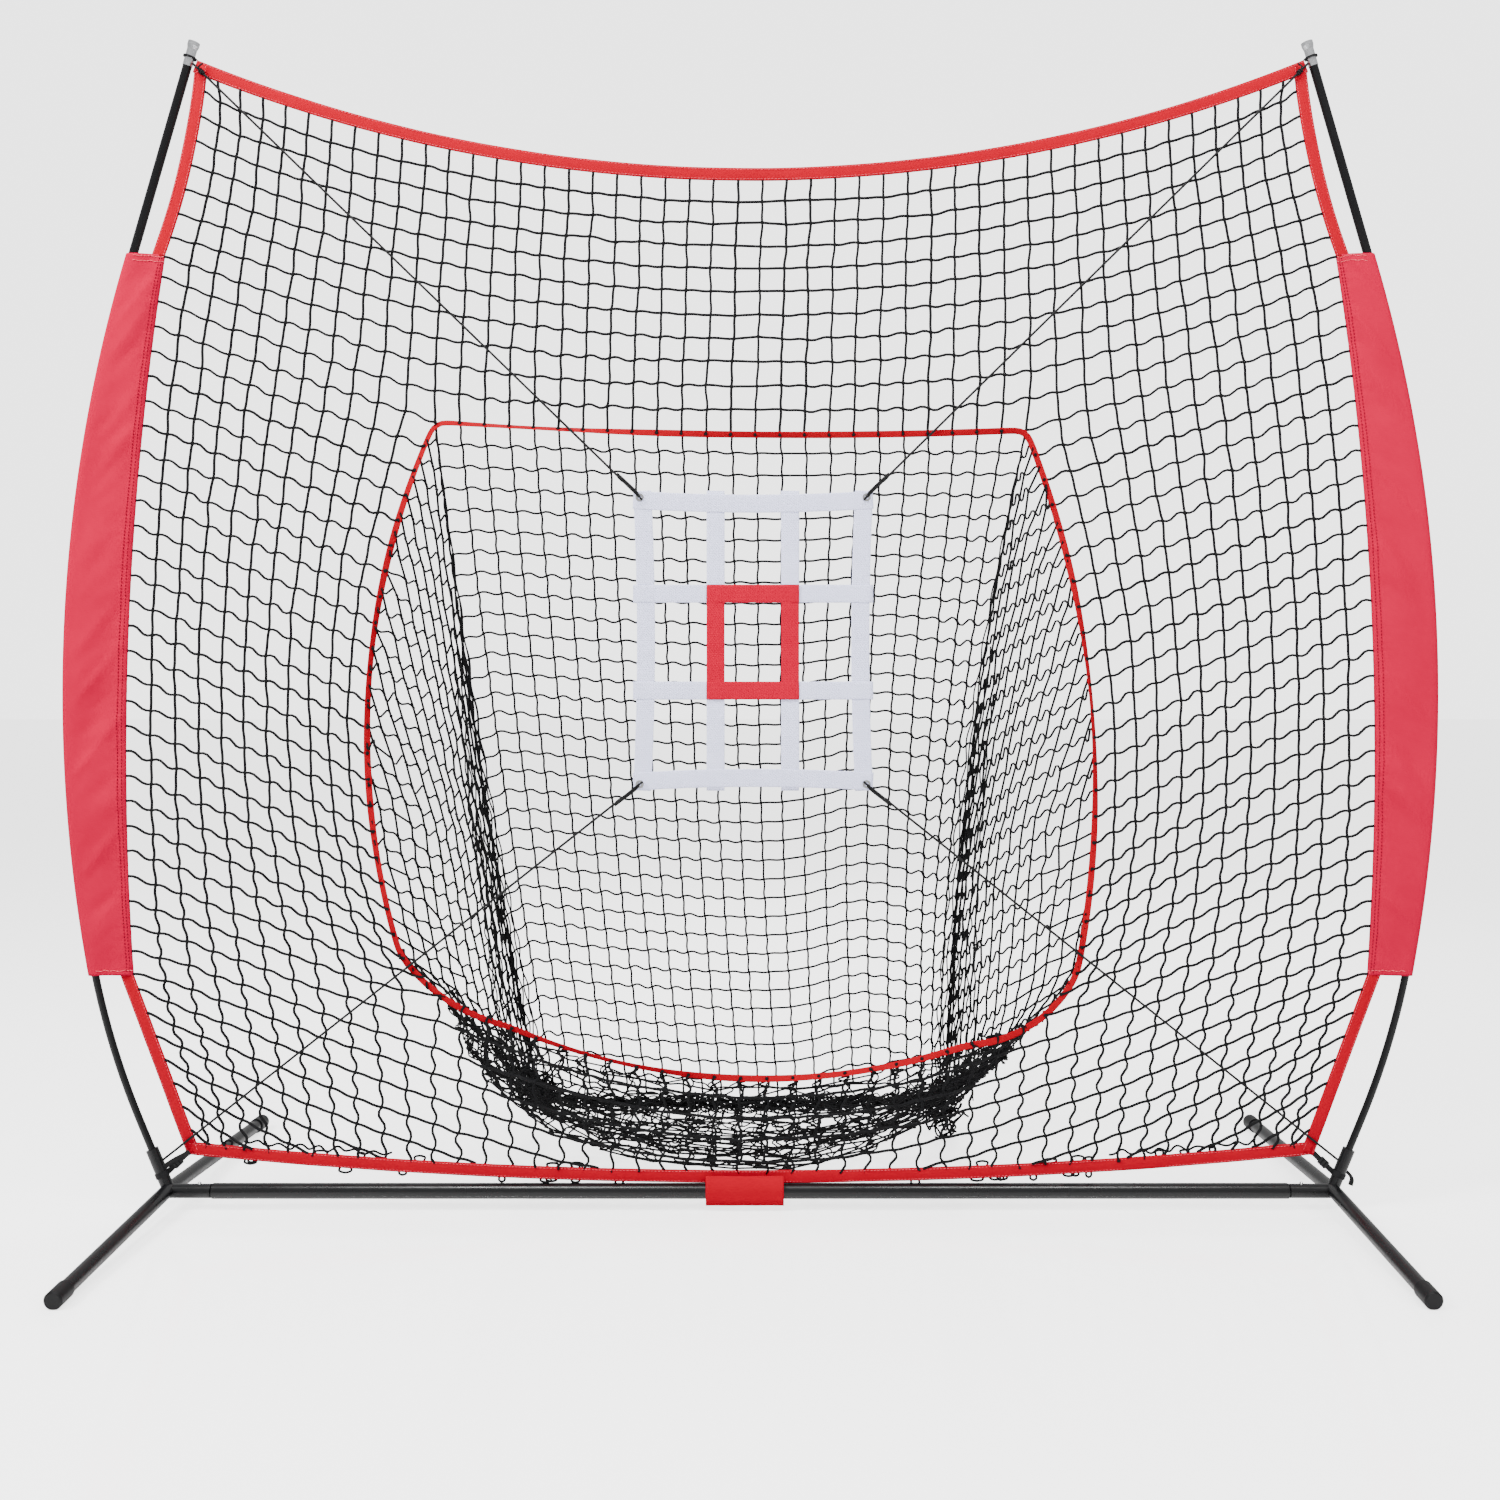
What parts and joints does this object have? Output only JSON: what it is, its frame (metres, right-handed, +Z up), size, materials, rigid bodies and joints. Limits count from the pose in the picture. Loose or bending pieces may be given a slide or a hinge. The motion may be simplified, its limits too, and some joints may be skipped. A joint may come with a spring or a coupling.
{
  "type": "pitching target net",
  "caption": "Free-standing netting wall on a tube base with bowed side poles, a catching bag behind its mouth and an elastic-hung strap target with windows.",
  "frame": {"origin": "on the floor under the middle of the stand", "axes": "+X to the right seen from the thrower, +Y away from the thrower, +Z up"},
  "size_m": [2.526, 0.9353, 2.1491],
  "materials": {
    "black_tube": "gloss powder coat",
    "foot_rubber": "matt",
    "pole_rod": "gloss fibreglass",
    "ferrule_metal": "bright turned",
    "button_steel": "plated",
    "spring_steel": "plain",
    "netting": "knotted twine",
    "mouth_tape": "woven tape",
    "red_tape": "woven tape",
    "red_cloth": "plain weave nylon",
    "white_webbing": "woven webbing",
    "red_webbing": "woven webbing",
    "grommet_metal": "nickel plate",
    "elastic": "braided cover",
    "black_webbing": "woven webbing",
    "buckle_plastic": "moulded"
  },
  "bodies": {
    "stand": {"left_leg_frame": "black_tube", "right_leg_frame": "black_tube", "crossbar_left_half": "black_tube", "crossbar_right_half": "black_tube", "foot_caps": "foot_rubber", "left_lower_pole": "pole_rod", "left_middle_pole": "pole_rod", "left_upper_pole": "pole_rod", "right_lower_pole": "pole_rod", "right_middle_pole": "pole_rod", "right_upper_pole": "pole_rod", "lower_ferrules": "ferrule_metal", "upper_ferrules": "ferrule_metal", "tip_ferrules": "ferrule_metal", "left_button_spring": "spring_steel", "right_button_spring": "spring_steel", "centre_button_spring": "spring_steel", "front_net": "netting", "bag_back": "netting", "bag_left_side": "netting", "bag_right_side": "netting", "bag_bottom": "netting", "mouth_trim": "mouth_tape", "top_border": "red_tape", "bottom_border": "red_tape", "left_upper_border": "red_tape", "right_upper_border": "red_tape", "left_lower_border": "red_tape", "right_lower_border": "red_tape", "left_pole_sleeve": "red_cloth", "right_pole_sleeve": "red_cloth", "crossbar_tab": "red_cloth", "upper_left_cord": "elastic", "upper_right_cord": "elastic", "lower_left_cord": "elastic", "lower_right_cord": "elastic", "upper_ties": "elastic", "lower_straps": "black_webbing", "lower_buckles": "buckle_plastic"},
    "target": {"target_vertical_straps": "white_webbing", "target_horizontal_straps": "white_webbing", "target_centre_frame": "red_webbing", "target_grommets": "grommet_metal"},
    "left_button": {"left_snap_button": "button_steel"},
    "right_button": {"right_snap_button": "button_steel"},
    "centre_button": {"centre_snap_button": "button_steel"}
  },
  "joints": [
    {"name": "target_swing", "type": "slide", "parent": "stand", "child": "target", "axis": [0, 1, 0], "range_m": [-0.06, 0.022], "stiffness_N_per_m": 40, "deforming": ["upper_left_cord", "upper_right_cord", "lower_left_cord", "lower_right_cord"]},
    {"name": "left_button_press", "type": "slide", "parent": "stand", "child": "left_button", "axis": [0, 0, -1], "range_m": [0, 0.0052], "stiffness_N_per_m": 900, "springref_m": -0.002, "deforming": ["left_button_spring"]},
    {"name": "right_button_press", "type": "slide", "parent": "stand", "child": "right_button", "axis": [0, 0, -1], "range_m": [0, 0.0052], "stiffness_N_per_m": 900, "springref_m": -0.002, "deforming": ["right_button_spring"]},
    {"name": "centre_button_press", "type": "slide", "parent": "stand", "child": "centre_button", "axis": [0, 0, 1], "range_m": [0, 0.0052], "stiffness_N_per_m": 900, "springref_m": -0.002, "deforming": ["centre_button_spring"]}
  ]
}
